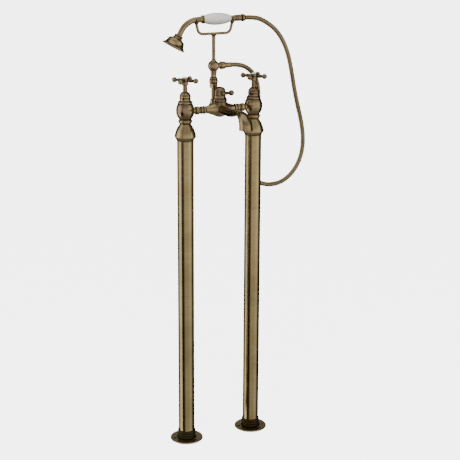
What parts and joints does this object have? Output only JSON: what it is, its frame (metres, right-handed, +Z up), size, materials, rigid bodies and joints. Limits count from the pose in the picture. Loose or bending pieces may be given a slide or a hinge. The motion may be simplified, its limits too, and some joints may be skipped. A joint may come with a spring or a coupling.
{
  "type": "floor standing bath filler",
  "caption": "Floor standing bath filler: two floor pipes, cross handles, swan-neck spout, diverter lever, and a handset on a hose resting in a forked cradle.",
  "frame": {"origin": "on the floor, midway between the two floor pipes", "axes": "+Z up, +X towards the right-hand tap, and the spout points towards -Y"},
  "size_m": [0.3874, 0.2339, 1.0775],
  "materials": {
    "aged_brass": "satin aged brass, darker in the hollows",
    "dark_brass": "dark aged brass",
    "porcelain": "white glazed porcelain",
    "seal": "matt black rubber",
    "valve_ceramic": "lapped ceramic",
    "steel": "plain steel",
    "copper_tail": "plain copper"
  },
  "bodies": {
    "stand": {"cradle": "aged_brass", "diverter_cartridge": "aged_brass", "diverter_turret": "aged_brass", "flange_grub_screws": "steel", "hose_start_ferrule": "aged_brass", "hose_start_nut": "aged_brass", "hose_washer": "seal", "inlet_seals": "seal", "left_bonnet": "aged_brass", "left_fixed_disc": "valve_ceramic", "left_floor_flange": "dark_brass", "left_pipe_shroud": "aged_brass", "left_standpipe": "aged_brass", "left_supply_tail": "copper_tail", "left_valve_cartridge": "aged_brass", "mixer_body": "aged_brass", "right_bonnet": "aged_brass", "right_fixed_disc": "valve_ceramic", "right_floor_flange": "dark_brass", "right_pipe_shroud": "aged_brass", "right_standpipe": "aged_brass", "right_supply_tail": "copper_tail", "right_valve_cartridge": "aged_brass", "riser_lock_nut": "aged_brass", "riser_tube": "aged_brass", "riser_union_nut": "aged_brass", "riser_washer": "seal", "shower_hose": "aged_brass", "spout": "aged_brass", "spout_insert": "aged_brass", "tee_body": "aged_brass", "tee_cap": "aged_brass"},
    "hot_handle": {"left_cross_handle": "aged_brass", "left_handle_screw": "steel", "left_index_button": "porcelain", "left_moving_disc": "valve_ceramic", "left_spindle": "aged_brass", "left_spindle_seal": "seal"},
    "cold_handle": {"right_cross_handle": "aged_brass", "right_handle_screw": "steel", "right_index_button": "porcelain", "right_moving_disc": "valve_ceramic", "right_spindle": "aged_brass", "right_spindle_seal": "seal"},
    "diverter": {"diverter_lever": "aged_brass", "diverter_stem": "aged_brass"},
    "handset": {"front_ferrule": "aged_brass", "handset_arm": "aged_brass", "handset_core_tube": "aged_brass", "handset_grip": "porcelain", "head_ring_nut": "aged_brass", "hose_end_nut": "aged_brass", "rear_ferrule": "aged_brass", "rose_plate": "aged_brass", "rose_screw": "aged_brass", "shower_head_bell": "aged_brass"}
  },
  "joints": [
    {"name": "hot_turn", "type": "hinge", "parent": "stand", "child": "hot_handle", "pos_m": [-0.09, 0, 0.914], "axis": [0, 0, 1], "range_deg": [0, 90]},
    {"name": "cold_turn", "type": "hinge", "parent": "stand", "child": "cold_handle", "pos_m": [0.09, 0, 0.914], "axis": [0, 0, 1], "range_deg": [0, 90]},
    {"name": "diverter_turn", "type": "hinge", "parent": "stand", "child": "diverter", "pos_m": [0, -0.0146, 0.8915], "axis": [0, -1, 0], "range_deg": [0, 90]},
    {"name": "handset_lift", "type": "slide", "parent": "stand", "child": "handset", "axis": [0, 0, 1], "range_m": [0, 0.06]}
  ]
}
